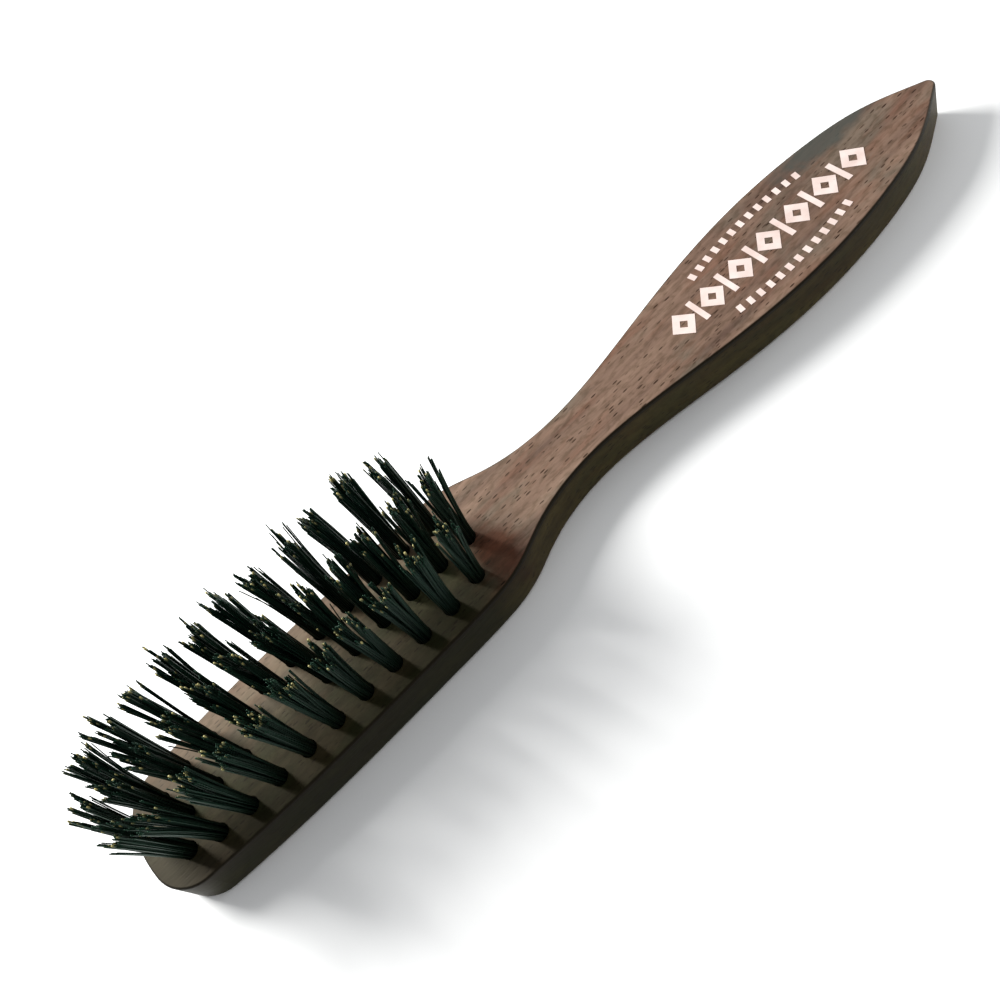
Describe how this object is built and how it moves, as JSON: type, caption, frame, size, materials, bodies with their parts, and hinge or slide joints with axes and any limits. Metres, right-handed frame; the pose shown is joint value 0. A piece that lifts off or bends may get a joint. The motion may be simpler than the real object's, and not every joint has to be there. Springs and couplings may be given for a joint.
{
  "type": "beard brush",
  "caption": "Flat wooden beard brush with a waisted, pointed handle and three staggered rows of stapled black bristle tufts.",
  "frame": {"origin": "on the flat back face of the wooden board, half way along its length and half way across", "axes": "+X along the board from the bristle head to the pointed tip of the handle, +Z out of the back through the board and up the bristles, +Y across the board"},
  "size_m": [0.18, 0.0248, 0.0285],
  "materials": {
    "dark_wood": "satin",
    "bristle": "satin",
    "staple_wire": "satin",
    "print_ink": "matte"
  },
  "bodies": {
    "root": {"wooden_board": "dark_wood", "tuft_near_01": "bristle", "tuft_near_02": "bristle", "tuft_near_03": "bristle", "tuft_near_04": "bristle", "tuft_near_05": "bristle", "tuft_near_06": "bristle", "tuft_near_07": "bristle", "tuft_near_08": "bristle", "tuft_near_09": "bristle", "tuft_near_10": "bristle", "tuft_near_11": "bristle", "tuft_middle_01": "bristle", "tuft_middle_02": "bristle", "tuft_middle_03": "bristle", "tuft_middle_04": "bristle", "tuft_middle_05": "bristle", "tuft_middle_06": "bristle", "tuft_middle_07": "bristle", "tuft_middle_08": "bristle", "tuft_middle_09": "bristle", "tuft_middle_10": "bristle", "tuft_middle_11": "bristle", "tuft_middle_12": "bristle", "tuft_far_01": "bristle", "tuft_far_02": "bristle", "tuft_far_03": "bristle", "tuft_far_04": "bristle", "tuft_far_05": "bristle", "tuft_far_06": "bristle", "tuft_far_07": "bristle", "tuft_far_08": "bristle", "tuft_far_09": "bristle", "tuft_far_10": "bristle", "tuft_far_11": "bristle", "staples_near_row": "staple_wire", "staples_middle_row": "staple_wire", "staples_far_row": "staple_wire", "printed_band": "print_ink", "printed_arch_near": "print_ink", "printed_arch_far": "print_ink"}
  },
  "joints": []
}
